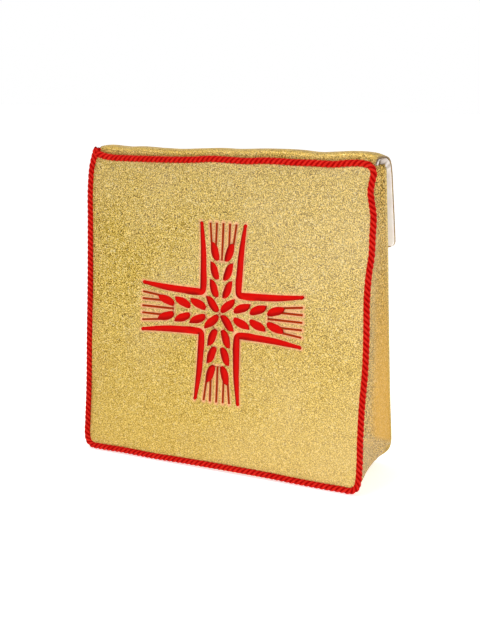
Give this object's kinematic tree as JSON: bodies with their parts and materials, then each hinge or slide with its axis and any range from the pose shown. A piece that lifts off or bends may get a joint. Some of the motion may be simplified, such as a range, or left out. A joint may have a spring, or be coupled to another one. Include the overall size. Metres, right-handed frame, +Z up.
{
  "type": "burse",
  "caption": "Stiff square cloth pouch standing on a gusseted base, with a lined flap over the mouth, a twisted cord edge and an embroidered wheat-ear cross.",
  "frame": {"origin": "middle of the footprint of the whole burse, on the surface it stands on", "axes": "+Z up, the embroidered front faces -Y and leans back towards +Y, +X to the right as seen from the front"},
  "size_m": [0.25, 0.0792, 0.25],
  "materials": {
    "gold_lame": "gold lame cloth with a fine glittering grain",
    "white_lining": "matt white lining cloth",
    "red_cord": "red three-ply twisted cord with a soft sheen",
    "red_thread": "red satin-stitch embroidery thread"
  },
  "bodies": {
    "root": {"front_panel": "gold_lame", "gusset": "gold_lame", "back_panel": "gold_lame", "flap": "gold_lame", "flap_lining": "white_lining", "edge_cord": "red_cord", "wheat_cross": "red_thread", "bracket_1": "red_thread", "bracket_2": "red_thread", "bracket_3": "red_thread", "bracket_4": "red_thread"}
  },
  "joints": []
}
